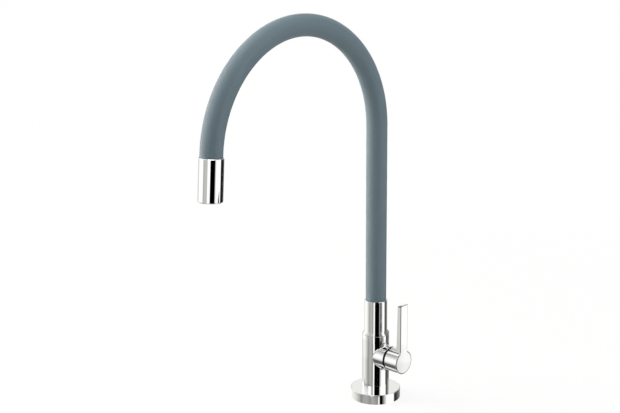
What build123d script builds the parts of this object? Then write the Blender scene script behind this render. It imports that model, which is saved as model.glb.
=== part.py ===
from build123d import *
from math import cos, radians, sin
import os

# Deck-mounted kitchen tap: an upright body with a quarter-turn side valve and lever, and a swivelling
# swan-neck spout sleeved in silicone, with a nozzle that holds an aerator.
# Millimetres, +Z up. The origin is the centre of the flange's underside, so z = 0 is the deck.
# The valve and its lever lie towards +X, and the spout reaches towards -Y.

# Clearances, all radial unless the name says gap
thread_clearance = 0.05
running_clearance = 0.05
seat_clearance = 0.05
service_clearance = 0.30
axial_gap = 0.30

# Connecting threads and water ways
shank_thread_radius = 10.48
water_bore_radius = 6.0
riser_radius = 3.5
passage_wall = 2.0

# Flange on the deck
flange_radius = 25.0
flange_height = 9.8
flange_edge_fillet = 0.7
body_seat_depth = 2.8
flange_rim_width = 2.5
flange_hollow_wall = 4.0
flange_hollow_depth = 3.0
gasket_width = 4.0
gasket_thickness = 2.0

# Upright body
body_wall = 3.12
body_edge_chamfer = 0.25
shank_engagement = 13.0

# Fixing below the deck
deck_thickness = 20.0
deck_seal_radius = 19.0
deck_seal_thickness = 2.5
clamp_washer_radius = 18.0
clamp_washer_thickness = 2.0
nut_across_flats = 27.0
nut_height = 8.0
nut_chamfer = 1.0
thread_below_nut = 6.0
relief_width = 1.5
relief_depth = 0.9
tail_length = 12.0
thread_end_chamfer = 0.8
strainer_length = 6.0
strainer_wall = 0.8
strainer_hole_radius = 0.6
strainer_hole_count = 6
strainer_hole_circles = (1.6, 3.4)

# Side branch and ceramic cartridge, along +X
hub_height = 45.25
branch_reach = 19.7
branch_wall = 3.7
branch_edge_chamfer = 0.3
branch_root_fillet = 2.2
pocket_radius = 8.3
pocket_depth = 18.7
outlet_hole_radius = 3.2
outlet_hole_place = 4.8
housing_stand_off = 0.4
housing_nose_wall = 0.85
housing_thread_length = 7.0
housing_hex_across_flats = 17.0
housing_hex_length = 4.0
housing_neck_radius = 5.8
housing_neck_length = 3.2
cartridge_seal_width = 1.5
cartridge_seal_length = 1.6
seat_seal_length = 2.2
seat_seal_width = 2.3
disc_radius = 6.65
fixed_disc_length = 3.2
moving_disc_length = 3.0
disc_hub_radius = 1.6
disc_rim = 1.1
disc_port_angle = 76.0
window_width = 7.0
window_length = 2.4

# Spindle
spindle_foot_length = 4.1
spindle_radius = 4.0
tongue_width = 2.6
tongue_depth = 1.2
tongue_clearance = 0.1
spindle_groove_depth = 1.0
spindle_groove_length = 1.8
spindle_groove_offset = 3.0
clip_groove_depth = 0.7
clip_thickness = 0.7
clip_width = 1.85
clip_gap = 3.0
spline_length = 6.3
spline_teeth = 20
spline_depth = 0.4

# Handle: hub and lever bar
handle_gap = 2.1
handle_wall = 1.83
handle_length = 15.4
handle_front_wall = 2.4
handle_edge_fillet = 0.8
handle_back_chamfer = 0.3
glide_ring_recess = 1.0
bush_wall = 1.4
bush_length = 5.8
lever_reach = 59.75
lever_width = 10.5
lever_tip_thickness = 4.2
lever_root_thickness = 5.7
lever_edge_fillet = 0.8
lever_tip_fillet = 1.6
grub_radius = 2.0
grub_length = 4.6
grub_hex_across_flats = 2.0
grub_hex_depth = 1.6
plug_radius = 2.9
plug_thickness = 1.2
plug_recess = 0.4

# Swivel joint between body and spout
spigot_radius = 8.55
socket_wall = 1.4
spigot_depth = 12.2
spigot_groove_depth = 1.5
spigot_groove_length = 1.9
spigot_bottom_land = 1.2
spigot_top_land = 0.3
spigot_throat = 2.0
bearing_depth = 2.0
bearing_width = 1.8
retainer_groove_depth = 1.2
retainer_tip_radius = 0.9
retainer_recess = 0.25
swivel_gap = 0.3

# Spout: collar, sleeve, gooseneck and water tube
collar_height = 35.25
collar_wall = 0.95
collar_taper = 0.15
collar_foot_land = 0.2
collar_foot_height = 3.1
collar_rim_chamfer = 0.3
collar_thread_wall = 2.2
collar_thread_length = 11.25
sleeve_fit = 0.15
sleeve_radius = 10.25
sleeve_wall = 2.75
gooseneck_wall = 2.0
water_tube_wall = 1.1
water_tube_radius = 4.0
hose_fit = 0.1
nipple_wall = 0.8
nipple_length = 11.0
ferrule_length = 5.0
column_height = 279.0
arch_radius = 107.0
arch_angle = 176.0
arch_tail = 2.4

# Nozzle at the spout's mouth
nozzle_length = 38.7
nozzle_wall = 0.85
nozzle_top_chamfer = 0.5
nozzle_mouth_fillet = 1.0
nozzle_socket_depth = 11.0
sleeve_in_nozzle = 6.0
nozzle_thread_wall = 1.95
nozzle_fitting_length = 10.6
nozzle_lip = 1.4
nozzle_seal_width = 1.6
nozzle_seal_length = 1.8
nozzle_seal_offset = 3.0
mouth_recess = 2.0
aerator_wall = 1.4
aerator_lip = 0.8
aerator_lip_length = 1.2
aerator_gasket_width = 3.3
aerator_gasket_length = 1.6
regulator_length = 3.5
regulator_hole_radius = 0.9
regulator_hole_circle = 5.2
regulator_hole_count = 12
screen_length = 0.8
screen_hole_radius = 0.55
insert_hole_radius = 0.8
insert_hole_spacing = 2.4
insert_hole_rings = 3

# Levels and radii that follow from the sizes above
body_radius = shank_thread_radius + body_wall
body_bottom = flange_height - body_seat_depth
shank_top = body_bottom + shank_engagement

seal_top = -deck_thickness
washer_top = seal_top - deck_seal_thickness
nut_top = washer_top - clamp_washer_thickness
nut_bottom = nut_top - nut_height
nut_corner_radius = nut_across_flats / 2 / cos(radians(30))
relief_top = nut_bottom - thread_below_nut
tail_top = relief_top - relief_width
shank_bottom = tail_top - tail_length

branch_radius = pocket_radius + branch_wall
pocket_floor = branch_reach - pocket_depth
riser_place = pocket_floor - passage_wall - riser_radius
feed_top = hub_height - pocket_radius - passage_wall

housing_bore_radius = disc_radius + running_clearance
housing_nose_radius = housing_bore_radius + housing_nose_wall
housing_start = pocket_floor + housing_stand_off
housing_thread_start = branch_reach - housing_thread_length
housing_hex_end = branch_reach + housing_hex_length
housing_end = housing_hex_end + housing_neck_length
cartridge_seal_outer = pocket_radius + cartridge_seal_width
cartridge_seal_start = branch_reach - cartridge_seal_length
fixed_disc_start = pocket_floor + seat_seal_length
moving_disc_start = fixed_disc_start + fixed_disc_length
foot_start = moving_disc_start + moving_disc_length
foot_end = foot_start + spindle_foot_length
housing_shoulder = foot_end + running_clearance
spindle_bore_radius = spindle_radius + running_clearance
spindle_groove_start = housing_shoulder + spindle_groove_offset
spindle_groove_end = spindle_groove_start + spindle_groove_length
tongue_reach = disc_radius - disc_rim
clip_start = housing_end + axial_gap
spline_start = clip_start + clip_thickness + axial_gap

handle_start = branch_reach + handle_gap
handle_end = handle_start + handle_length
bush_end = handle_end - handle_front_wall
bush_start = bush_end - bush_length
bush_radius = spindle_radius + seat_clearance + bush_wall
glide_ring_inner = housing_hex_across_flats / 2 / cos(radians(30)) + seat_clearance
glide_ring_outer = branch_radius - glide_ring_recess
handle_bore_radius = glide_ring_inner + service_clearance
handle_radius = handle_bore_radius + handle_wall
grub_place = (bush_start + bush_end) / 2
plug_floor = handle_radius - plug_recess - plug_thickness
lever_top = hub_height + lever_reach

socket_radius = spigot_radius + running_clearance
socket_floor = hub_height + pocket_radius + socket_wall
spigot_bottom = socket_floor + axial_gap
body_top = spigot_bottom + spigot_depth
bearing_outer = socket_radius + bearing_width
lower_groove = spigot_bottom + spigot_bottom_land
upper_groove = body_top - bearing_depth - spigot_top_land - spigot_groove_length
retainer_height = (lower_groove + spigot_groove_length + upper_groove) / 2
retainer_groove_half = retainer_tip_radius + axial_gap
retainer_tip_end = spigot_radius - retainer_groove_depth + axial_gap
retainer_shoulder = socket_radius + axial_gap
retainer_end = body_radius - retainer_recess

collar_bottom = body_top + swivel_gap
collar_top = collar_bottom + collar_height
collar_bore_radius = sleeve_radius + sleeve_fit
collar_radius = collar_bore_radius + collar_wall
collar_thread_radius = collar_radius - collar_thread_wall
spigot_shoulder = collar_bottom + collar_thread_length
ferrule_top = spigot_shoulder + ferrule_length
sleeve_bore_radius = sleeve_radius - sleeve_wall
gooseneck_radius = sleeve_bore_radius - hose_fit
gooseneck_bore_radius = gooseneck_radius - gooseneck_wall
water_tube_bore_radius = water_tube_radius - water_tube_wall
nipple_radius = water_tube_bore_radius - hose_fit
nipple_top = spigot_shoulder + nipple_length

nozzle_top = arch_tail
nozzle_bottom = nozzle_top + nozzle_length
nozzle_socket_radius = sleeve_radius + sleeve_fit
nozzle_radius = nozzle_socket_radius + nozzle_wall
nozzle_ledge = nozzle_top + nozzle_socket_depth
nozzle_thread_radius = nozzle_radius - nozzle_thread_wall
fitting_bottom = nozzle_ledge + nozzle_fitting_length
aerator_bore_radius = nozzle_radius - nozzle_lip
sleeve_end = nozzle_top + sleeve_in_nozzle
gooseneck_end = nozzle_ledge - axial_gap
tip_nipple_radius = water_tube_bore_radius - hose_fit
tip_nipple_top = nozzle_ledge - nipple_length
nozzle_seal_start = nozzle_ledge + nozzle_seal_offset
nozzle_seal_end = nozzle_seal_start + nozzle_seal_length
tip_ferrule_top = sleeve_end + axial_gap
gasket_bottom = fitting_bottom + aerator_gasket_length
aerator_bottom = nozzle_bottom - mouth_recess
aerator_radius = aerator_bore_radius - thread_clearance
aerator_inner_radius = aerator_radius - aerator_wall
screen_bottom = aerator_bottom - aerator_lip_length
screen_top = screen_bottom - screen_length
regulator_bottom = gasket_bottom + regulator_length
stack_radius = aerator_inner_radius - seat_clearance

# The arch ends here, and the nozzle's axis goes on in its direction
arch_end = Vector(
    0,
    arch_radius * (cos(radians(arch_angle)) - 1),
    column_height + arch_radius * sin(radians(arch_angle)),
)
tip_direction = Vector(0, -sin(radians(arch_angle)), cos(radians(arch_angle)))

# Each turning centre is a side plane, where x is the radius and y the place along the axis, and its axis
upright = Plane.XZ, Axis.Z
crosswise = (
    Plane(origin=(0, 0, hub_height), x_dir=(0, 0, 1), z_dir=(0, 1, 0)),
    Axis((0, 0, hub_height), (1, 0, 0)),
)
backwards = (
    Plane(origin=(0, 0, retainer_height), x_dir=(1, 0, 0), z_dir=(0, 0, 1)),
    Axis((0, 0, retainer_height), (0, 1, 0)),
)
tipwise = (
    Plane(origin=arch_end, x_dir=(1, 0, 0), z_dir=(0, -tip_direction.Z, tip_direction.Y)),
    Axis(arch_end, tip_direction),
)


def turn(points, centre, mode=Mode.ADD):
    """Turn a closed outline of (radius, place) points about a centre."""
    side, axis = centre
    with BuildSketch(side) as outline:
        with BuildLine():
            Polyline(*points, close=True)
        make_face()
    revolve(outline.sketch, axis=axis, mode=mode)


def ring(inner, outer, start, end, centre, mode=Mode.ADD):
    """Turn a plain ring, or a disc where the inner radius is 0."""
    turn([(inner, start), (outer, start), (outer, end), (inner, end)], centre, mode)


def cross_plane(centre, place):
    """The plane square to a centre's axis at a place along it."""
    side, axis = centre
    return Plane(origin=side.origin + axis.direction * place, x_dir=side.x_dir, z_dir=axis.direction)


def hexagon(across_flats, start, end, centre, mode=Mode.ADD):
    """A hexagonal prism along a centre's axis."""
    with BuildSketch(cross_plane(centre, start)) as outline:
        RegularPolygon(across_flats / 2, 6, major_radius=False)
    extrude(outline.sketch, amount=end - start, mode=mode)


def drill_circle(radius, circle, count, start, end, centre):
    """Drill holes on a circle through what stands there."""
    with BuildSketch(cross_plane(centre, start)) as holes:
        with PolarLocations(circle, count):
            Circle(radius)
    extrude(holes.sketch, amount=end - start, mode=Mode.SUBTRACT)


def spline_section(tip_radius, place):
    """The star of teeth that drives the handle."""
    step = 180.0 / spline_teeth
    radii = (tip_radius, tip_radius - spline_depth)
    corners = [
        (radii[i % 2] * cos(radians(step * i)), radii[i % 2] * sin(radians(step * i)))
        for i in range(2 * spline_teeth)
    ]
    with BuildSketch(cross_plane(crosswise, place)) as section:
        with BuildLine():
            Polyline(*corners, close=True)
        make_face()
    return section.sketch


def disc_ports(outer, first_angle, start, end):
    """Cut two opposite sectors from a ceramic disc, from its hub out to a radius."""
    with BuildSketch(cross_plane(crosswise, start)) as ports:
        for turned in (0, 180):
            with BuildLine():
                middle = first_angle + turned
                inner_arc = CenterArc((0, 0), disc_hub_radius, middle - disc_port_angle / 2, disc_port_angle)
                outer_arc = CenterArc((0, 0), outer, middle - disc_port_angle / 2, disc_port_angle)
                Line(inner_arc @ 0, outer_arc @ 0)
                Line(inner_arc @ 1, outer_arc @ 1)
            make_face()
    extrude(ports.sketch, amount=end - start, mode=Mode.SUBTRACT)


def hose(outer, inner, foot, tail):
    """A hose up the column, over the arch and on along the nozzle's axis."""
    with BuildLine(Plane.YZ) as route:
        Line((0, foot), (0, column_height))
        CenterArc((-arch_radius, column_height), arch_radius, 0, arch_angle)
        tail_end = arch_end + tip_direction * tail
        Line((arch_end.Y, arch_end.Z), (tail_end.Y, tail_end.Z))
    with BuildSketch(Plane.XY.offset(foot)) as section:
        Circle(outer)
        Circle(inner, mode=Mode.SUBTRACT)
    sweep(section.sketch, path=route.line)


# Flange: a thick disc that hides the deck hole, recessed on top for the body and below for the gasket
with BuildPart() as base_flange:
    ring(shank_thread_radius + service_clearance, flange_radius, 0, flange_height, upright)
    fillet(base_flange.edges().group_by(Axis.Z)[-1].sort_by(SortBy.RADIUS)[-1], flange_edge_fillet)
    ring(0, body_radius + seat_clearance, body_bottom, flange_height, upright, Mode.SUBTRACT)
    gasket_outer = flange_radius - flange_rim_width
    gasket_inner = gasket_outer - gasket_width
    ring(gasket_inner, gasket_outer, 0, gasket_thickness, upright, Mode.SUBTRACT)
    hollow_outer = gasket_inner - flange_rim_width
    hollow_inner = shank_thread_radius + flange_hollow_wall
    ring(hollow_inner, hollow_outer, 0, flange_hollow_depth, upright, Mode.SUBTRACT)
base_flange.part.label = "base_flange"

# Gasket: a flat ring, flush with the flange's underside
with BuildPart() as base_gasket:
    ring(gasket_inner + seat_clearance, gasket_outer - seat_clearance, 0, gasket_thickness, upright)
base_gasket.part.label = "base_gasket"

# Body: an upright bar crossed by the branch with a cast fillet, then bored for shank, valve and swivel
with BuildPart() as valve_body:
    turn(
        [
            (0, body_bottom),
            (body_radius, body_bottom),
            (body_radius, body_top - body_edge_chamfer),
            (body_radius - body_edge_chamfer, body_top),
            (0, body_top),
        ],
        upright,
    )
    turn(
        [
            (0, 0),
            (branch_radius, 0),
            (branch_radius, branch_reach - branch_edge_chamfer),
            (branch_radius - branch_edge_chamfer, branch_reach),
            (0, branch_reach),
        ],
        crosswise,
    )
    junction = valve_body.edges().filter_by(GeomType.LINE, reverse=True)
    fillet(junction.filter_by(GeomType.CIRCLE, reverse=True), branch_root_fillet)
    ring(0, shank_thread_radius + thread_clearance, body_bottom, shank_top, upright, Mode.SUBTRACT)
    ring(0, water_bore_radius, shank_top, feed_top, upright, Mode.SUBTRACT)
    with BuildSketch(Plane.XY.offset(feed_top - riser_radius)):
        with Locations((riser_place, 0)):
            Circle(riser_radius)
    extrude(amount=hub_height - feed_top + riser_radius, mode=Mode.SUBTRACT)
    ring(0, riser_radius, riser_place, pocket_floor, crosswise, Mode.SUBTRACT)
    ring(0, pocket_radius, pocket_floor, branch_reach, crosswise, Mode.SUBTRACT)
    ring(0, cartridge_seal_outer, cartridge_seal_start, branch_reach, crosswise, Mode.SUBTRACT)
    with BuildSketch(Plane.XY.offset(hub_height)):
        with Locations((outlet_hole_place, 0)):
            Circle(outlet_hole_radius)
    extrude(amount=socket_floor - hub_height, mode=Mode.SUBTRACT)
    ring(0, socket_radius, socket_floor, body_top, upright, Mode.SUBTRACT)
    ring(0, bearing_outer, body_top - bearing_depth, body_top, upright, Mode.SUBTRACT)
    with BuildSketch(Plane.XZ):
        with Locations((0, retainer_height)):
            Circle(grub_radius + thread_clearance)
    extrude(amount=-body_radius, mode=Mode.SUBTRACT)
valve_body.part.label = "valve_body"

# Black ring that fills the gap behind the handle
with BuildPart() as glide_ring:
    ring(glide_ring_inner, glide_ring_outer, branch_reach, handle_start - axial_gap, crosswise)
glide_ring.part.label = "glide_ring"

# Shank: one hollow stud, with a relief between the clamping thread and the inlet's tail thread
with BuildPart() as mounting_shank:
    ring(water_bore_radius, shank_thread_radius, shank_bottom, shank_top, upright)
    chamfer(mounting_shank.edges().group_by(Axis.Z)[0].sort_by(SortBy.RADIUS)[-1], thread_end_chamfer)
    chamfer(mounting_shank.edges().group_by(Axis.Z)[-1].sort_by(SortBy.RADIUS)[-1], thread_end_chamfer)
    ring(
        shank_thread_radius - relief_depth, shank_thread_radius, tail_top, relief_top, upright,
        Mode.SUBTRACT,
    )
mounting_shank.part.label = "mounting_shank"

with BuildPart() as deck_seal:
    ring(shank_thread_radius + seat_clearance, deck_seal_radius, washer_top, seal_top, upright)
deck_seal.part.label = "deck_seal"

with BuildPart() as clamp_washer:
    ring(shank_thread_radius + seat_clearance, clamp_washer_radius, nut_top, washer_top, upright)
clamp_washer.part.label = "clamp_washer"

# Nut: a hexagonal bar with its corners turned back to a cone at both ends
with BuildPart() as mounting_nut:
    hexagon(nut_across_flats, nut_bottom, nut_top, upright)
    turn(
        [
            (0, nut_bottom),
            (nut_corner_radius - nut_chamfer, nut_bottom),
            (nut_corner_radius, nut_bottom + nut_chamfer / 2),
            (nut_corner_radius, nut_top - nut_chamfer / 2),
            (nut_corner_radius - nut_chamfer, nut_top),
            (0, nut_top),
        ],
        upright,
        Mode.INTERSECT,
    )
    ring(0, shank_thread_radius + thread_clearance, nut_bottom, nut_top, upright, Mode.SUBTRACT)
mounting_nut.part.label = "mounting_nut"

# Strainer: a cup pushed into the shank's inlet, with a drilled floor
with BuildPart() as inlet_strainer:
    strainer_top = shank_bottom + strainer_length
    strainer_radius = water_bore_radius - seat_clearance
    ring(0, strainer_radius, shank_bottom, strainer_top, upright)
    ring(
        0, strainer_radius - strainer_wall, shank_bottom, strainer_top - strainer_wall, upright,
        Mode.SUBTRACT,
    )
    for circle in strainer_hole_circles:
        drill_circle(
            strainer_hole_radius, circle, strainer_hole_count, shank_bottom, strainer_top, upright
        )
inlet_strainer.part.label = "inlet_strainer"

# Cartridge housing: windowed nose, thread, hexagon and a neck that guides the spindle
with BuildPart() as cartridge_housing:
    ring(0, housing_nose_radius, housing_start, housing_thread_start, crosswise)
    ring(0, pocket_radius - thread_clearance, housing_thread_start, branch_reach, crosswise)
    hexagon(housing_hex_across_flats, branch_reach, housing_hex_end, crosswise)
    ring(0, housing_neck_radius, housing_hex_end, housing_end, crosswise)
    ring(0, housing_bore_radius, housing_start, housing_shoulder, crosswise, Mode.SUBTRACT)
    ring(0, spindle_bore_radius, housing_shoulder, housing_end, crosswise, Mode.SUBTRACT)
    with BuildSketch(Plane.XY.offset(hub_height)):
        with Locations(((moving_disc_start + foot_start) / 2, 0)):
            Rectangle(window_length, window_width)
    extrude(amount=housing_nose_radius, both=True, mode=Mode.SUBTRACT)
cartridge_housing.part.label = "cartridge_housing"

with BuildPart() as cartridge_seal:
    ring(pocket_radius, cartridge_seal_outer, cartridge_seal_start, branch_reach, crosswise)
cartridge_seal.part.label = "cartridge_seal"

with BuildPart() as seat_seal:
    ring(disc_radius - seat_seal_width, disc_radius, pocket_floor, fixed_disc_start, crosswise)
seat_seal.part.label = "seat_seal"

# Ceramic discs: the ports of the fixed one stand above and below, those of the moving one to the sides
with BuildPart() as fixed_disc:
    ring(0, disc_radius, fixed_disc_start, moving_disc_start, crosswise)
    disc_ports(disc_radius - disc_rim, 0, fixed_disc_start, moving_disc_start)
fixed_disc.part.label = "fixed_disc"

with BuildPart() as moving_disc:
    ring(0, disc_radius, moving_disc_start, foot_start, crosswise)
    disc_ports(disc_radius + seat_clearance, 90, moving_disc_start, foot_start)
    with BuildSketch(cross_plane(crosswise, foot_start - tongue_depth)):
        Rectangle(2 * disc_radius, tongue_width)
    extrude(amount=tongue_depth, mode=Mode.SUBTRACT)
moving_disc.part.label = "moving_disc"

# Spindle: foot with a driving tongue, sealed stem, clip groove and splined end
with BuildPart() as spindle:
    ring(0, disc_radius, foot_start, foot_end, crosswise)
    ring(0, spindle_radius, foot_end, spline_start, crosswise)
    extrude(spline_section(spindle_radius, spline_start), amount=spline_length)
    with BuildSketch(cross_plane(crosswise, foot_start - tongue_depth + seat_clearance)):
        Rectangle(2 * tongue_reach, tongue_width - 2 * tongue_clearance)
    extrude(amount=tongue_depth)
    ring(
        spindle_radius - spindle_groove_depth, spindle_radius, spindle_groove_start, spindle_groove_end,
        crosswise, Mode.SUBTRACT,
    )
    ring(
        spindle_radius - clip_groove_depth, spindle_radius, clip_start, clip_start + clip_thickness,
        crosswise, Mode.SUBTRACT,
    )
spindle.part.label = "spindle"

with BuildPart() as spindle_seal:
    ring(
        spindle_radius - spindle_groove_depth, spindle_bore_radius - running_clearance / 2,
        spindle_groove_start, spindle_groove_end, crosswise,
    )
spindle_seal.part.label = "spindle_seal"

# Clip: an open ring that snaps sideways into the spindle's groove
with BuildPart() as spindle_clip:
    clip_inner = spindle_radius - clip_groove_depth
    ring(clip_inner, clip_inner + clip_width, clip_start, clip_start + clip_thickness, crosswise)
    with BuildSketch(cross_plane(crosswise, clip_start)):
        with Locations((-clip_inner, 0)):
            Rectangle(2 * clip_inner, clip_gap)
    extrude(amount=clip_thickness, mode=Mode.SUBTRACT)
spindle_clip.part.label = "spindle_clip"

# Handle: bar and hub cast in one, the bar's face flush with the hub's disc
with BuildPart() as lever_handle:
    with BuildSketch(Plane.XZ.offset(-lever_width / 2)):
        with BuildLine():
            Polyline(
                (handle_end, hub_height),
                (handle_end, lever_top),
                (handle_end - lever_tip_thickness, lever_top),
                (handle_end - lever_root_thickness, hub_height),
                close=True,
            )
        make_face()
    extrude(amount=lever_width)
    tip_edges = lever_handle.edges().group_by(Axis.Z)[-1].filter_by(Axis.Y).sort_by(Axis.X)
    fillet(tip_edges[0], lever_tip_fillet)
    front_edges = lever_handle.faces().sort_by(Axis.X)[-1].edges()
    fillet(front_edges.sort_by(Axis.Z)[1:], lever_edge_fillet)
    hub_side, hub_axis = crosswise
    with BuildSketch(hub_side) as hub_outline:
        with BuildLine():
            Polyline(
                (0, handle_start),
                (handle_radius - handle_back_chamfer, handle_start),
                (handle_radius, handle_start + handle_back_chamfer),
                (handle_radius, handle_end),
                (0, handle_end),
                close=True,
            )
        make_face()
        fillet(hub_outline.vertices().sort_by(Axis.Y)[-2:].sort_by(Axis.X)[-1], handle_edge_fillet)
    revolve(axis=hub_axis)
    with BuildSketch(Plane.XY.offset(hub_height)):
        with Locations((grub_place, 0)):
            Circle(grub_radius + thread_clearance)
    extrude(amount=-handle_radius, mode=Mode.SUBTRACT)
    with BuildSketch(Plane.XY.offset(hub_height - plug_floor)):
        with Locations((grub_place, 0)):
            Circle(plug_radius + seat_clearance)
    extrude(amount=plug_floor - handle_radius, mode=Mode.SUBTRACT)
    ring(0, handle_bore_radius, handle_start, bush_start, crosswise, Mode.SUBTRACT)
    ring(0, bush_radius, bush_start, bush_end, crosswise, Mode.SUBTRACT)
lever_handle.part.label = "lever_handle"

# Bush: splined inside, round outside, drilled for the grub screw
with BuildPart() as spline_bush:
    ring(0, bush_radius - seat_clearance, bush_start, bush_end, crosswise)
    extrude(spline_section(spindle_radius + seat_clearance, bush_start), amount=bush_length,
            mode=Mode.SUBTRACT)
    with BuildSketch(Plane.XY.offset(hub_height)):
        with Locations((grub_place, 0)):
            Circle(grub_radius + thread_clearance)
    extrude(amount=-bush_radius, mode=Mode.SUBTRACT)
spline_bush.part.label = "spline_bush"

# Grub screw of the handle, from below, with a hexagon socket in its outer end
with BuildPart() as handle_screw:
    with BuildSketch(Plane.XY.offset(hub_height - spindle_radius - seat_clearance)):
        with Locations((grub_place, 0)):
            Circle(grub_radius)
    extrude(amount=-grub_length)
    with BuildSketch(Plane.XY.offset(hub_height - spindle_radius - seat_clearance - grub_length)):
        with Locations((grub_place, 0)):
            RegularPolygon(grub_hex_across_flats / 2, 6, major_radius=False)
    extrude(amount=grub_hex_depth, mode=Mode.SUBTRACT)
handle_screw.part.label = "handle_screw"

with BuildPart() as screw_plug:
    with BuildSketch(Plane.XY.offset(hub_height - plug_floor)):
        with Locations((grub_place, 0)):
            Circle(plug_radius)
    extrude(amount=-plug_thickness)
screw_plug.part.label = "screw_plug"

# Spigot: turns in the body, is screwed into the collar, and carries the water tube on a nipple
with BuildPart() as swivel_spigot:
    turn(
        [
            (water_bore_radius, spigot_bottom),
            (spigot_radius, spigot_bottom),
            (spigot_radius, collar_bottom),
            (collar_thread_radius - thread_clearance, collar_bottom),
            (collar_thread_radius - thread_clearance, spigot_shoulder),
            (nipple_radius, spigot_shoulder),
            (nipple_radius, nipple_top),
            (nipple_radius - nipple_wall, nipple_top),
            (nipple_radius - nipple_wall, spigot_shoulder - spigot_throat),
            (water_bore_radius, spigot_shoulder - spigot_throat - water_bore_radius + nipple_radius),
        ],
        upright,
    )
    for start in (lower_groove, upper_groove):
        ring(
            spigot_radius - spigot_groove_depth, spigot_radius, start, start + spigot_groove_length,
            upright, Mode.SUBTRACT,
        )
    ring(
        spigot_radius - retainer_groove_depth, spigot_radius, retainer_height - retainer_groove_half,
        retainer_height + retainer_groove_half, upright, Mode.SUBTRACT,
    )
swivel_spigot.part.label = "swivel_spigot"

with BuildPart() as swivel_orings:
    for start in (lower_groove, upper_groove):
        ring(
            spigot_radius - spigot_groove_depth, spigot_radius + running_clearance / 2, start,
            start + spigot_groove_length, upright,
        )
swivel_orings.part.label = "swivel_orings"

with BuildPart() as swivel_bearing:
    ring(
        spigot_radius + seat_clearance, bearing_outer - seat_clearance, body_top - bearing_depth,
        collar_bottom, upright,
    )
swivel_bearing.part.label = "swivel_bearing"

# Retaining screw in the body's back, its tip in the spigot's groove
with BuildPart() as swivel_screw:
    turn(
        [
            (0, retainer_tip_end),
            (retainer_tip_radius, retainer_tip_end),
            (retainer_tip_radius, retainer_shoulder),
            (grub_radius, retainer_shoulder),
            (grub_radius, retainer_end),
            (0, retainer_end),
        ],
        backwards,
    )
    with BuildSketch(cross_plane(backwards, retainer_end - grub_hex_depth)):
        RegularPolygon(grub_hex_across_flats / 2, 6, major_radius=False)
    extrude(amount=grub_hex_depth, mode=Mode.SUBTRACT)
swivel_screw.part.label = "swivel_screw"

# Collar: a turned tube that flares at its foot to the body's diameter
with BuildPart() as spout_collar:
    turn(
        [
            (collar_thread_radius, collar_bottom),
            (body_radius, collar_bottom),
            (body_radius, collar_bottom + collar_foot_land),
            (collar_radius + collar_taper, collar_bottom + collar_foot_height),
            (collar_radius, collar_top - collar_rim_chamfer),
            (collar_radius - collar_rim_chamfer, collar_top),
            (collar_bore_radius, collar_top),
            (collar_bore_radius, spigot_shoulder),
            (collar_thread_radius, spigot_shoulder),
        ],
        upright,
    )
spout_collar.part.label = "spout_collar"

with BuildPart() as hose_ferrule:
    ring(
        gooseneck_radius + hose_fit, collar_bore_radius - hose_fit, spigot_shoulder, ferrule_top, upright
    )
hose_ferrule.part.label = "hose_ferrule"

# The three concentric hoses of the swan-neck
with BuildPart() as silicone_sleeve:
    hose(sleeve_radius, sleeve_bore_radius, ferrule_top, sleeve_end)
silicone_sleeve.part.label = "silicone_sleeve"

with BuildPart() as gooseneck_tube:
    hose(gooseneck_radius, gooseneck_bore_radius, spigot_shoulder, gooseneck_end)
gooseneck_tube.part.label = "gooseneck_tube"

with BuildPart() as water_tube:
    hose(water_tube_radius, water_tube_bore_radius, spigot_shoulder, gooseneck_end)
water_tube.part.label = "water_tube"

# Ferrule at the gooseneck's far end
with BuildPart() as tip_ferrule:
    ring(
        gooseneck_radius + service_clearance, nozzle_socket_radius - hose_fit, tip_ferrule_top,
        nozzle_ledge, tipwise,
    )
tip_ferrule.part.label = "tip_ferrule"

# Nozzle shell: socket for the sleeve, thread for the fitting, and a wide bore for the aerator
with BuildPart() as nozzle_shell:
    turn(
        [
            (nozzle_socket_radius, nozzle_top),
            (nozzle_radius - nozzle_top_chamfer, nozzle_top),
            (nozzle_radius, nozzle_top + nozzle_top_chamfer),
            (nozzle_radius, nozzle_bottom),
            (aerator_bore_radius, nozzle_bottom),
            (aerator_bore_radius, fitting_bottom),
            (nozzle_thread_radius, fitting_bottom),
            (nozzle_thread_radius, nozzle_ledge),
            (nozzle_socket_radius, nozzle_ledge),
        ],
        tipwise,
    )
    mouth_edges = nozzle_shell.edges().filter_by(GeomType.CIRCLE)
    fillet(mouth_edges.sort_by(Axis.Z)[:2].sort_by(SortBy.RADIUS)[-1], nozzle_mouth_fillet)
nozzle_shell.part.label = "nozzle_shell"

# Fitting: screwed into the shell, with a nipple in the water tube
with BuildPart() as nozzle_fitting:
    turn(
        [
            (tip_nipple_radius - nipple_wall, tip_nipple_top),
            (tip_nipple_radius, tip_nipple_top),
            (tip_nipple_radius, nozzle_ledge),
            (nozzle_thread_radius - thread_clearance, nozzle_ledge),
            (nozzle_thread_radius - thread_clearance, fitting_bottom),
            (water_bore_radius, fitting_bottom),
            (water_bore_radius, nozzle_ledge + spigot_throat + water_bore_radius - tip_nipple_radius),
            (tip_nipple_radius - nipple_wall, nozzle_ledge + spigot_throat),
        ],
        tipwise,
    )
    ring(
        nozzle_thread_radius - nozzle_seal_width, nozzle_thread_radius, nozzle_seal_start,
        nozzle_seal_end, tipwise, Mode.SUBTRACT,
    )
nozzle_fitting.part.label = "nozzle_fitting"

with BuildPart() as nozzle_seal:
    ring(
        nozzle_thread_radius - nozzle_seal_width, nozzle_thread_radius, nozzle_seal_start,
        nozzle_seal_end, tipwise,
    )
nozzle_seal.part.label = "nozzle_seal"

# Aerator, in order towards the mouth: gasket, regulator, honeycomb and screen, in their housing
with BuildPart() as aerator_gasket:
    ring(
        aerator_radius - aerator_gasket_width, aerator_radius, fitting_bottom, gasket_bottom, tipwise
    )
aerator_gasket.part.label = "aerator_gasket"

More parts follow.
